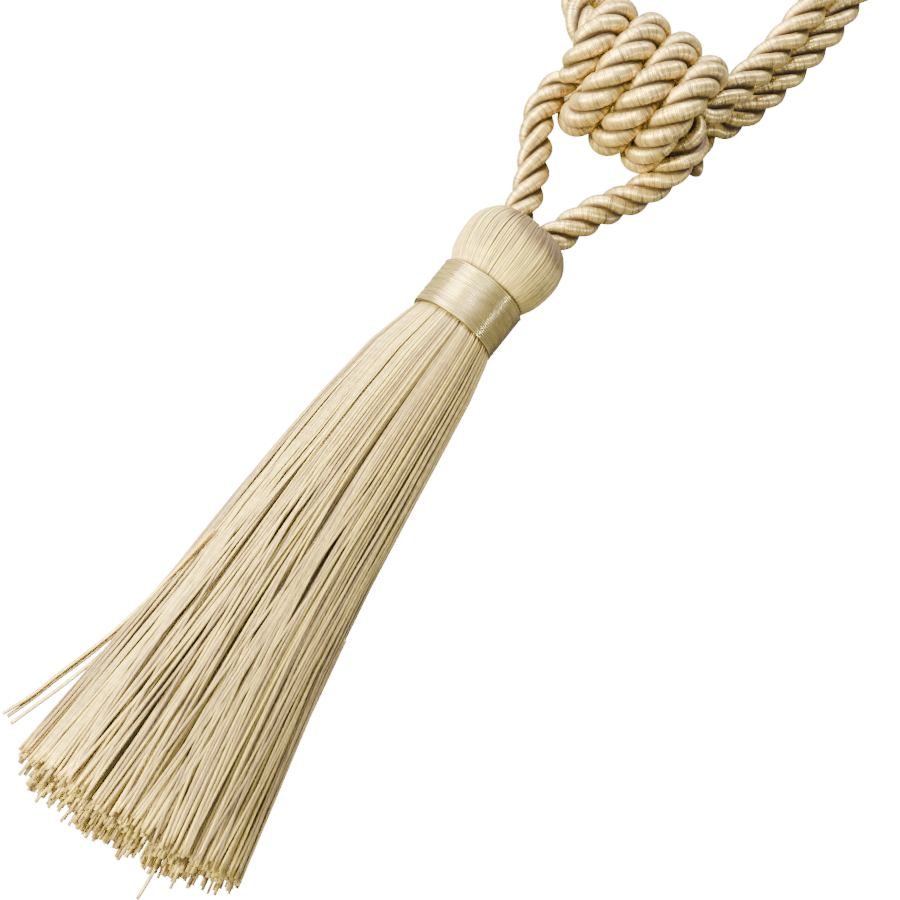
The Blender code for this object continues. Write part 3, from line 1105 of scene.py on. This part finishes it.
@dataclass
class TasselHead:
    """The head: yarns laid over a core, from the neck up and over the rim into the rope pit.

    The profile's rows are a distance up the head and the radius there. The fields that start with
    pit say where along a yarn painted shade darkens it towards the pit; those that start with core
    are the core's, and the core is painted mostly in shade where it shows between the yarns.
    """

    neck: NeckPlan
    yarns: int = 176
    yarn_radius: float = 0.37
    rings: int = 44
    twist: float = math.radians(9.0)
    seed: int = 11
    outline_step: float = 0.6
    aside: float = 0.14
    sway: Point = (0.01, 0.005)
    sway_bends: Point = (3.1, 7.3)
    lift: Point = (-0.16, 0.1)
    sizes: Point = (0.85, 1.15)
    sunk: float = 0.8
    least_radius: float = 0.4
    full_radius: float = 13.0
    # Painted shade: where along them the yarns darken towards the pit, and how dark their sides
    # get.
    pit_from: float = 0.295
    pit_uneven: float = 0.03
    pit_lean: float = 0.2
    pit_over: float = 0.14
    pit_shade: float = 0.95
    side_shade_most: float = 0.8
    # The core under the yarns is painted mostly in shade.
    core_points: int = 72
    core_below: float = 0.3
    core_least: float = 0.3
    core_shade: float = 0.75
    core_shade_tone: float = 0.8
    profile: tuple[Point, ...] = (
        (17.3, 13.2),
        (18.6, 13.9),
        (22.0, 15.6),
        (27.0, 16.7),
        (32.0, 16.9),
        (36.0, 15.8),
        (38.8, 13.8),
        (39.9, 12.5),
        (39.3, 11.7),
        (36.0, 11.4),
        (33.2, 10.4),
        (32.6, 7.0),
        (32.5, 1.0),
    )

    def build(self, material: bpy.types.Material) -> bpy.types.Object:
        """Builds the core and the yarns that lie over it.

        Args:
            material: The yarn's finish.

        Returns:
            The head's object.
        """
        rng = np.random.default_rng(self.seed)
        outline = smooth_line([(*row, 0.0) for row in self.profile], self.outline_step)
        share = np.linspace(0, 1, self.rings)
        row = share * (len(outline) - 1)
        up = np.interp(row, np.arange(len(outline)), outline[:, 0])
        radius = np.interp(row, np.arange(len(outline)), outline[:, 1])
        count = self.yarns
        aside = rng.uniform(-self.aside, self.aside, count)
        angle = 2 * math.pi * (np.arange(count) + aside) / count
        wave = rng.uniform(0, 2 * math.pi, (count, 2))
        slow = self.sway[0] * np.sin(self.sway_bends[0] * share + wave[:, :1])
        quick = self.sway[1] * np.sin(self.sway_bends[1] * share + wave[:, 1:])
        turned = angle[:, None] + self.twist * share + (slow + quick)
        lift = rng.uniform(*self.lift, count)[:, None] * np.sin(math.pi * share)
        size = self.yarn_radius * rng.uniform(*self.sizes, count)[:, None]
        reach = np.maximum(radius - size * self.sunk + lift, self.least_radius)
        lines = self.neck.head_points(up, reach, turned)
        thin = np.minimum(1.0, radius / self.full_radius) * np.ones((count, 1))
        rings = swept(lines, size * thin, self.neck.outward(lines))
        rings[..., 2] = np.maximum(rings[..., 2], 0.0)
        maker = MeshMaker()
        # Painted shade: each yarn darkens towards the pit, later on one side, and on its sides.
        uneven = rng.uniform(-self.pit_uneven, self.pit_uneven, count)[:, None]
        start = self.pit_from + uneven + self.pit_lean * np.clip(-np.cos(turned), 0, 1)
        pit = self.pit_shade * np.clip((share - start) / self.pit_over, 0, 1)[:, :, None]
        side_shade = self.side_shade_most * RING_SHADES[None, None]
        maker.add_tubes(rings, distances(lines), np.maximum(pit, side_shade), rng.uniform(0, 1, count))
        # A core painted mostly in shade shows in the gaps between the yarns.
        around = np.linspace(0, 2 * math.pi, self.core_points, endpoint=False)
        inner = np.maximum(outline[:, 1:2] - 2 * self.yarn_radius, self.core_least)
        below = outline[:, :1] - self.core_below
        shell = self.neck.head_points(below, inner, around[None, :])[None]
        shade_mask, tone = np.array(self.core_shade), np.array([self.core_shade_tone])
        maker.add_tubes(shell, distances(shell[:, :, 0]), shade_mask, tone)
        item = maker.make("head_yarns", material)
        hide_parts("tassel")
        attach(item, "root")
        return item


@dataclass
class NeckBand:
    """The neck's winding: satin thread laid turn beside turn over a plain lining, with painted
    shade.
    """

    neck: NeckPlan
    length: float = 17.0
    outer: float = 14.5
    turns: int = 25
    thread: float = 0.41
    steps: int = 96
    waver: float = 0.09
    waves: int = 8
    end_dip: float = 0.25
    end_rise: float = 12.0
    # How the painted shade between the turns grows, and the lining, painted mostly in shade.
    turn_shade_power: float = 0.7
    tone: float = 0.3
    lining_points: int = 64
    lining_inset: float = 0.2
    lining_radii: Point = (13.6, 13.9)
    lining_shade: float = 0.8
    lining_shade_tone: float = 0.8
    seed: int = 3

    def build(self, material: bpy.types.Material) -> bpy.types.Object:
        """Winds the thread over its lining.

        Args:
            material: The thread's finish.

        Returns:
            The band's object.
        """
        share = np.linspace(0, 1, self.turns * self.steps + 1)
        angle = 2 * math.pi * self.turns * share
        up = self.thread + (self.length - 2 * self.thread) * share
        edge = np.abs(2 * share - 1) * self.end_rise - (self.end_rise - 1)
        swell = 1 - self.end_dip * np.clip(edge, 0, 1)
        rng = np.random.default_rng(self.seed)
        phase = np.repeat(rng.uniform(0, 2 * math.pi, self.turns + 1), self.steps)[: len(angle)]
        waver = self.waver * np.sin(self.waves * angle + phase) * np.sin(angle * 0.5) ** 2
        line = self.neck.head_points(up, self.outer - self.thread * swell - waver, angle)[None]
        thick = np.full(line.shape[:2], self.thread)
        rings = swept(line, thick, self.neck.outward(line))
        maker = MeshMaker()
        # Painted shade between the turns of the thread.
        shade_mask = RING_SHADES[None, None] ** self.turn_shade_power
        maker.add_tubes(rings, distances(line), shade_mask, np.array([self.tone]))
        around = np.linspace(0, 2 * math.pi, self.lining_points, endpoint=False)
        inner, outer = self.lining_radii
        low, high = self.lining_inset, self.length - self.lining_inset
        lining = np.array(((low, inner), (low, outer), (high, outer), (high, inner)))
        shell = self.neck.head_points(lining[:, :1], lining[:, 1:], around[None, :])[None]
        # The lining is painted mostly in shade.
        shade_mask, tone = np.array(self.lining_shade), np.array([self.lining_shade_tone])
        maker.add_tubes(shell, distances(shell[:, :, 0]), shade_mask, tone, capped=False)
        item = maker.make("band_winding", material)
        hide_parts("neck_band")
        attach(item, "root")
        return item


@dataclass
class Skirt:
    """The skirt: loose twisted yarns that hang together in clumps.

    A section's rows are the distance from the band, half the width, half the height, the shift to
    the side and how flat it lies. A row of lower shades gives the painted shade that darkens the
    yarns towards the bottom: how much, from which share of the way down, and over which share.
    Pairs are ranges, or a slow and a quick sway.
    """

    neck: NeckPlan
    # How the yarns are spread over the section and gathered into clumps.
    rim_yarns: int = 104
    levels: tuple[float, ...] = (1.0, 0.93, 0.86, 0.78, 0.69, 0.58, 0.45, 0.3, 0.12)
    aside: float = 0.24
    level_uneven: float = 0.018
    clumps: int = 23
    clump_aside: float = 0.36
    clump_rim: float = 0.9
    clump_levels: int = 8
    clump_shift: float = 2.2
    over_yarns: int = 60
    over_angles: Point = (12.0, 168.0)
    over_drift: Point = (0.15, 0.5)
    # How thick they are and how far inside the band they start.
    rings: int = 42
    root: float = 1.0
    thin: float = 0.38
    thick: float = 0.66
    thick_power: float = 0.8
    thick_range: Point = (0.8, 1.14)
    # How they wander on the way down.
    pull: float = 0.16
    pull_range: Point = (0.2, 1.8)
    pull_until: float = 0.55
    pull_power: float = 1.3
    clump_sway: Point = (0.045, 0.014)
    clump_bends: Point = (2.6, 6.5)
    sway: Point = (0.03, 0.008)
    sway_range: Point = (0.3, 1.4)
    bends_range: Point = (3.0, 9.0)
    quick_bends: float = 14.0
    drift_share: float = 0.3
    drift_most: float = 0.2
    drift_start: float = 0.3
    lift_from: float = 0.08
    lift: float = 0.05
    clump_lift: float = 0.012
    breath: float = 0.03
    breath_bends: float = 6.0
    widest: float = 1.02
    # How long they are.
    length: float = 174.5
    bulge: float = 4.5
    under_reach: float = 5.5
    under_lean: float = 0.4
    uneven: float = 2.0
    clump_uneven: float = 0.4
    yarn_uneven: float = 0.5
    # Painted shade between the yarns, inside the skirt and towards the bottom, faded out at the cut
    # ends.
    heart_shade: float = 0.9
    heart_from: float = 0.98
    heart_over: float = 0.22
    heart_rise: float = 4.0
    heart_least: float = 0.5
    lower_shades: tuple[Point, ...] = ((0.28, 0.2, 0.5), (0.15, 0.6, 0.3))
    side_shade: Point = (0.72, 0.8, 0.9)
    side_shade_widen: float = 0.5
    end_fade: float = 0.7
    end_power: int = 12
    # How the skirt's underside is pressed level.
    flat_from: float = -0.4
    flat_keep: float = 0.4
    flat_widen: float = 0.5
    # The yarns that leave it.
    stray_step: float = 0.5
    # A little painted shade on the stray yarns.
    stray_shade: float = 0.1
    stray_tones: Point = (0.15, 0.85)
    seed: int = 5
    strays: tuple[tuple[Point, ...], ...] = (
        (
            (-71.0, -26.3, 22.0),
            (-82.3, -38.4, 19.0),
            (-91.5, -47.6, 15.0),
            (-99.6, -54.8, 11.0),
            (-107.0, -60.6, 8.0),
            (-115.9, -67.2, 5.5),
            (-122.4, -72.3, 3.6),
            (-131.6, -78.2, 2.2),
        ),
        (
            (-71.0, -27.0, 21.0),
            (-82.3, -39.2, 18.0),
            (-91.6, -48.6, 14.0),
            (-99.9, -56.0, 9.6),
            (-107.6, -62.2, 6.6),
            (-116.2, -68.4, 4.3),
            (-122.9, -73.7, 2.4),
            (-130.3, -78.9, 1.2),
        ),
        (
            (-70.0, -27.5, 21.0),
            (-81.3, -39.4, 17.0),
            (-89.6, -47.6, 12.0),
            (-97.6, -55.8, 9.0),
            (-104.6, -62.4, 7.0),
            (-115.2, -70.8, 4.0),
            (-122.9, -76.4, 2.5),
            (-129.3, -81.1, 1.4),
        ),
        ((-72.9, -92.7, 10.0), (-81.1, -111.5, 6.0), (-87.3, -124.3, 3.5), (-92.1, -132.3, 1.6)),
        (
            (-31.9, -57.5, 14.0),
            (-41.1, -77.2, 10.0),
            (-50.4, -97.0, 6.5),
            (-57.0, -112.6, 4.0),
            (-63.1, -129.3, 1.6),
        ),
    )
    sections: tuple[Point, ...] = (
        (-1.0, 13.6, 13.6, 0.0, 0.0),
        (0.0, 14.1, 14.0, 0.0, 0.0),
        (3.0, 14.9, 14.2, -0.2, 0.0),
        (16.0, 18.0, 14.2, -1.4, 0.0),
        (36.0, 20.7, 14.6, -2.6, 0.4),
        (56.0, 22.8, 15.0, -3.3, 0.8),
        (80.0, 24.9, 15.4, -3.9, 1.0),
        (112.0, 28.0, 16.2, -4.0, 1.0),
        (178.0, 37.4, 19.0, -3.0, 1.0),
        (200.0, 41.0, 20.4, -2.2, 1.0),
    )

    def column(self, s: np.ndarray, index: int) -> np.ndarray:
        """Gives one column of the sections at any distance from the band."""
        rows = np.array(self.sections)
        return np.interp(s, rows[:, 0], rows[:, index])

    def bottom(self, q: np.ndarray, flat: np.ndarray) -> np.ndarray:
        """Presses the bottom of a section level.

        Args:
            q: Height in the section, from -1 to 1.
            flat: How far it is pressed, 0 to 1.

        Returns:
            The height after pressing.
        """
        share = np.clip((self.flat_from - q) / (1 + self.flat_from), 0, None)
        pressed = self.flat_from - (1 + self.flat_from) * (share - self.flat_keep * share * share)
        return np.where(q >= self.flat_from, q, q + flat * (pressed - q))

    def place(self, s: np.ndarray, p: np.ndarray, q: np.ndarray, thick: np.ndarray) -> np.ndarray:
        """Places points of the skirt.

        Args:
            s: Distance from the band.
            p: Place across the section, -1 to 1.
            q: Place up the section, -1 to 1.
            thick: Radius of the yarn there.

        Returns:
            The points in the layout.
        """
        width = self.column(s, 1) - thick
        half_height = self.column(s, 2) - thick
        flat = self.column(s, 4)
        widen = 1 + flat * self.flat_widen * np.maximum(0.0, -q) ** 2
        across = self.column(s, 3) + width * p * widen
        level = -self.column(s, 2) * self.bottom(np.array(-1.0), np.array(1.0))
        middle = (1 - flat) * self.neck.height + flat * level
        cos, sin = math.cos(self.neck.skirt_angle), math.sin(self.neck.skirt_angle)
        height = np.maximum(middle + half_height * self.bottom(q, flat), thick)
        return np.stack(
            [
                self.neck.x - s * cos + across * sin,
                self.neck.y - s * sin - across * cos,
                height,
            ],
            axis=-1,
        )

    def roots(self, rng: np.random.Generator) -> tuple[np.ndarray, ...]:
        """Spreads the yarns over the section in rings, and lays a few more over its top.

        Args:
            rng: The random numbers.

        Returns:
            The radius and angle of each yarn, and how far each of those on top drifts aside.
        """
        radii, angles = [], []
        for level in self.levels:
            count = round(self.rim_yarns * level)
            place = rng.uniform() + np.arange(count) + rng.uniform(-self.aside, self.aside, count)
            angles.append(2 * math.pi * place / count)
            radii.append(level + rng.uniform(-self.level_uneven, self.level_uneven, count))
        over = self.over_yarns
        drift = rng.choice([-1, 1], over) * rng.uniform(*self.over_drift, over)
        angles.append(np.radians(rng.uniform(*self.over_angles, over)))
        radii.append(np.ones(over))
        return np.concatenate(radii), np.concatenate(angles), drift

    def gather(
        self, radius: np.ndarray, angle: np.ndarray, rng: np.random.Generator
    ) -> tuple[np.ndarray, np.ndarray]:
        """Sorts the yarns into clumps.

        Args:
            radius: Radius of each yarn.
            angle: Angle of each yarn.
            rng: The random numbers.

        Returns:
            The clump of each yarn, and the turn from the yarn to the clump's middle.
        """
        aside = rng.uniform(-self.clump_aside, self.clump_aside, self.clumps)
        heart = 2 * math.pi * (np.arange(self.clumps) + aside) / self.clumps
        shift = self.clump_shift * np.round(radius * self.clump_levels)
        shift = np.where(radius < self.clump_rim, shift, 0.0)
        apart = section_angle(heart[None, :] - (angle + shift)[:, None])
        own = np.argmin(np.abs(apart), axis=1)
        return own, apart[np.arange(len(own)), own]

    def courses(self, t: np.ndarray, rng: np.random.Generator) -> tuple[np.ndarray, ...]:
        """Leads the yarns down the skirt: each is drawn to its clump and sways with it.

        Args:
            t: Share of the way down, at each ring.
            rng: The random numbers.

        Returns:
            The radius and angle of each yarn at each ring, and its clump.
        """
        root_radius, root_angle, over_drift = self.roots(rng)
        count = len(root_angle)
        own, apart = self.gather(root_radius, root_angle, rng)
        pull = (self.pull * rng.uniform(*self.pull_range, count))[:, None]
        pull = pull * np.clip(t / self.pull_until, 0, 1) ** self.pull_power
        pull[-self.over_yarns :] = 0.0
        clump_wave = rng.uniform(0, 2 * math.pi, (self.clumps, 2))[own]
        clump_size = rng.normal(0, 1, (self.clumps, 2))[own]
        bends = np.array(self.clump_bends)[:, None, None]
        size = np.array(self.clump_sway)[:, None, None] * clump_size.T[:, :, None]
        clump_sway = np.sum(size * np.sin(bends * t + clump_wave.T[:, :, None]), axis=0) * t
        wave = rng.uniform(0, 2 * math.pi, (count, 3))
        size = rng.uniform(*self.sway_range, (count, 1))
        bends = rng.uniform(*self.bends_range, (count, 1))
        slow = self.sway[0] * np.sin(bends * t + wave[:, :1])
        quick = self.sway[1] * np.sin(self.quick_bends * t + wave[:, 1:2])
        sway = size * (slow + quick) * t
        drifting = rng.uniform(0, 1, count) < self.drift_share
        drift = np.where(drifting, rng.uniform(-self.drift_most, self.drift_most, count), 0.0)
        drift[-self.over_yarns :] = over_drift
        angle = root_angle[:, None] + pull * apart[:, None] + clump_sway + sway
        angle = angle + drift[:, None] * np.clip(t - self.drift_start, 0, 1)
        lift = np.where(np.abs(drift) > self.lift_from, self.lift, 0.0)
        lift = lift + self.clump_lift * clump_size[:, 0]
        breath = self.breath * np.sin(self.breath_bends * t + wave[:, 2:]) * t
        radius = root_radius[:, None] * (1 + breath)
        return np.minimum(radius + lift[:, None] * t, self.widest), angle, own

    def lengths(
        self, end_p: np.ndarray, end_q: np.ndarray, own: np.ndarray, rng: np.random.Generator
    ) -> np.ndarray:
        """Cuts the yarns to length: longest in the middle and below.

        Args:
            end_p: Place of each yarn's end across the section, -1 to 1.
            end_q: Its place up the section, -1 to 1.
            own: Each yarn's clump.
            rng: The random numbers.

        Returns:
            The yarns' lengths.
        """
        under = self.under_reach * (1 - end_q) / 2 * (1 - self.under_lean * end_p)
        uneven = rng.normal(0, self.clump_uneven, self.clumps)[own]
        uneven = uneven + rng.normal(0, self.yarn_uneven, len(own))
        return self.length + (self.bulge + under) * (1 - end_p**2) + self.uneven * uneven

    def shade_amounts(self, t: np.ndarray, radius: np.ndarray) -> np.ndarray:
        """Gives the painted shade of the inner yarns, and of all yarns towards the bottom.

        Args:
            t: Share of the way down, at each ring.
            radius: Radius of each yarn at each ring.

        Returns:
            The yarns' painted shade.
        """
        # Painted shade on the inner yarns, and darker towards the bottom.
        heart = self.heart_shade * np.clip((self.heart_from - radius) / self.heart_over, 0, 1)
        heart = heart * np.clip(t * self.heart_rise, self.heart_least, 1)
        lower_shade = sum(most * np.clip((t - start) / over, 0, 1) for most, start, over in self.lower_shades)
        return np.maximum(heart, lower_shade)

    def lines(self) -> tuple[np.ndarray, ...]:
        """Lays the yarns from the neck to their cut ends.

        Returns:
            The yarns' middle lines, radii, painted shade, directions out of the skirt, and tones.
        """
        rng = np.random.default_rng(self.seed)
        t = np.linspace(0, 1, self.rings)[None, :]
        radius, angle, own = self.courses(t, rng)
        p, q = radius * np.cos(angle), radius * np.sin(angle)
        length = self.lengths(p[:, -1], q[:, -1], own, rng)
        s = -self.root + (length[:, None] + self.root) * t
        thick = self.thin + (self.thick - self.thin) * t**self.thick_power
        thick = thick * rng.uniform(*self.thick_range, (len(own), 1))
        cos, sin = math.cos(self.neck.skirt_angle), math.sin(self.neck.skirt_angle)
        level = p / self.column(s, 1)
        outward = unit(np.stack([level * sin, -level * cos, q / self.column(s, 2)], axis=-1))
        lines, tone = self.place(s, p, q, thick), rng.uniform(0, 1, len(own))
        laid = lines, thick, self.shade_amounts(t, radius), outward, tone
        return tuple(np.concatenate(pair) for pair in zip(laid, self.stray_lines()))

    def stray_lines(self) -> tuple[np.ndarray, ...]:
        """Lays the few yarns that leave the skirt.

        Returns:
            Their middle lines, radii, painted shade, directions out of the skirt, and tones.
        """
        lines = []
        for route in self.strays:
            line = smooth_line(list(route), self.stray_step)
            row = np.arange(len(line))
            at = np.linspace(0, len(line) - 1, self.rings)
            lines.append(np.stack([np.interp(at, row, line[:, k]) for k in range(3)], axis=1))
        shape = (len(lines), self.rings)
        thick, shade_mask = np.full(shape, self.thick), np.full(shape, self.stray_shade)
        outward = np.broadcast_to((0.0, 0.0, 1.0), (*shape, 3))
        return np.stack(lines), thick, shade_mask, outward, np.linspace(*self.stray_tones, len(lines))

    def build(self, material: bpy.types.Material) -> list[bpy.types.Object]:
        """Builds the yarns in three bundles.

        Args:
            material: The yarn's finish.

        Returns:
            The three pieces.
        """
        lines, thick, painted_shade, outward, tone = self.lines()
        along = distances(lines)
        rings = swept(lines, thick, outward)
        down = np.linspace(0, 1, self.rings)[:, None]
        # Painted shade on the yarns' sides, growing down the skirt; all of it fades out at the cut
        # ends.
        fade = 1 - self.end_fade * down**self.end_power
        start, growth, most = self.side_shade
        side_shade = np.clip(start + growth * down, 0, most)
        side_shade = side_shade * RING_SHADES ** (1 - self.side_shade_widen * down)
        shade_mask = np.maximum(painted_shade[:, :, None], side_shade) * fade
        order = np.argsort(lines[:, self.rings // 2, 2])
        made = []
        names = ("skirt_under_yarns", "skirt_heart_yarns", "skirt_top_yarns")
        for name, part in zip(names, np.array_split(order, len(names))):
            maker = MeshMaker()
            maker.add_tubes(rings[part], along[part], shade_mask[part], tone[part])
            item = maker.make(name, material)
            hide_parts("tassel")
            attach(item, "root")
            made.append(item)
        return made


# ---------------------------------------------------------------------------------------------
# Studio
# ---------------------------------------------------------------------------------------------


@dataclass(frozen=True)
class SoftLight:
    """One soft square light that faces the part; sizes in metres, power in watts."""

    name: str
    place: Point
    size: float
    power: float
    tint: Colour = (0.96, 0.98, 1.0)

    def add(self) -> None:
        """Puts the light into the scene."""
        data = bpy.data.lights.new(self.name, "AREA")
        data.shape = "SQUARE"
        data.size = self.size
        data.energy = self.power
        data.color = self.tint
        light = bpy.data.objects.new(self.name, data)
        light.location = self.place
        light.rotation_mode = "QUATERNION"
        light.rotation_quaternion = (-Vector(self.place)).to_track_quat("-Z", "Y")
        bpy.context.scene.collection.objects.link(light)


@dataclass
class Studio:
    """Floor, soft lights and camera."""

    distance: float = 0.95
    tilt: float = math.radians(15.0)
    facing: float = math.radians(57.3)
    target: Point = (0.0, 0.0, 0.016)
    view_width: float = 0.27
    sensor: float = 36.0
    nearest: float = 0.01
    farthest: float = 20.0
    floor_size: float = 6.0
    floor_grey: float = 0.11
    floor_rough: float = 0.9
    floor_specular: float = 0.1
    floor_glow: float = 16.0
    air_glow: float = 0.15
    lights: tuple[SoftLight, ...] = (
        SoftLight("key_light", (-1.15, 0.2, 0.9), 0.8, 198.0, tint=(1.0, 0.92, 0.45)),
        SoftLight("top_light", (-0.45, -0.6, 1.45), 0.5, 20.0),
        SoftLight("low_light", (-0.6, 1.15, 0.6), 0.8, 72.0),
        SoftLight("rim_light", (0.6, 1.0, 0.6), 0.3, 42.0),
        SoftLight("side_light", (0.98, -0.38, 0.58), 0.13, 8.5),
    )

    def add_camera(self) -> None:
        """Puts the camera above the part, leaning towards the skirt."""
        down = Vector((-math.cos(self.facing), -math.sin(self.facing), 0.0))
        z = Vector((0.0, 0.0, 1.0))
        leaned = math.cos(self.tilt) * down - math.sin(self.tilt) * z
        back = math.sin(self.tilt) * down + math.cos(self.tilt) * z
        right = Vector((1.0, 0.0, 0.0))
        right = right + right.dot(down) * (leaned - down)
        up = Vector((0.0, 1.0, 0.0))
        up = up + up.dot(down) * (leaned - down)
        place = Vector(self.target) - Vector(ORIGIN) * MM + self.distance * back
        data = bpy.data.cameras.new("camera")
        data.sensor_width = self.sensor
        data.lens = self.sensor * self.distance / self.view_width
        data.clip_start = self.nearest
        data.clip_end = self.farthest
        camera = bpy.data.objects.new("camera", data)
        axes = Matrix((right, up, back)).transposed().to_4x4()
        camera.matrix_world = Matrix.Translation(place) @ axes
        bpy.context.scene.collection.objects.link(camera)
        bpy.context.scene.camera = camera

    def add_floor(self) -> None:
        """Lays a plain pale floor under the part."""
        half = self.floor_size / 2
        mesh = bpy.data.meshes.new("floor")
        corners = [(-half, -half, 0.0), (half, -half, 0.0), (half, half, 0.0), (-half, half, 0.0)]
        mesh.from_pydata(corners, [], [(0, 1, 2, 3)])
        material = bpy.data.materials.new("pale_floor")
        material.use_nodes = True
        shader = material.node_tree.nodes["Principled BSDF"]
        chain = NodeChain(material.node_tree)
        seen = chain.node("ShaderNodeLightPath").outputs["Is Camera Ray"]
        black, white = (0.0, 0.0, 0.0, 1.0), (1.0, 1.0, 1.0, 1.0)
        grey = self.floor_grey
        shader.inputs["Base Color"].default_value = (grey, grey, grey, 1.0)
        shader.inputs["Roughness"].default_value = self.floor_rough
        shader.inputs["Specular IOR Level"].default_value = self.floor_specular
        shader.inputs["Emission Strength"].default_value = self.floor_glow
        chain.feed(shader.inputs["Emission Color"], chain.blend(seen, black, white))
        mesh.materials.append(material)
        floor = bpy.data.objects.new("floor", mesh)
        bpy.context.scene.collection.objects.link(floor)

    def add_lights(self) -> None:
        """Lights the part softly from above and both sides."""
        world = bpy.data.worlds.new("studio_air")
        world.use_nodes = True
        air = world.node_tree.nodes["Background"]
        air.inputs[0].default_value = (1.0, 1.0, 1.0, 1.0)
        air.inputs[1].default_value = self.air_glow
        bpy.context.scene.world = world
        for light in self.lights:
            light.add()

    def build(self) -> None:
        """Sets up the whole studio."""
        self.add_camera()
        self.add_floor()
        self.add_lights()


def main() -> None:
    """Builds the studio and every piece of the tieback in order."""
    logging.basicConfig(level=logging.INFO, format="%(name)s: %(message)s")
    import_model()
    Studio().build()
    winding = WindingGroup().build()
    dye = DyeGroup().build()
    rope = ROPE_SATIN.material(winding, dye)
    knot = KnotPlan()
    made = [left_loop(knot).build(rope), right_loop(knot).build(rope)]
    made += TasselRopes(knot).build(rope)
    neck = NeckPlan()
    made.append(NeckBand(neck).build(BAND_SATIN.material(winding, dye)))
    made.append(TasselHead(neck).build(HEAD_YARN.material(winding, dye)))
    made += Skirt(neck).build(SKIRT_YARN.material(winding, dye))
    for item in made:
        LOG.info("%s: %d faces", item.name, len(item.data.polygons))


if __name__ == "__main__":
    main()
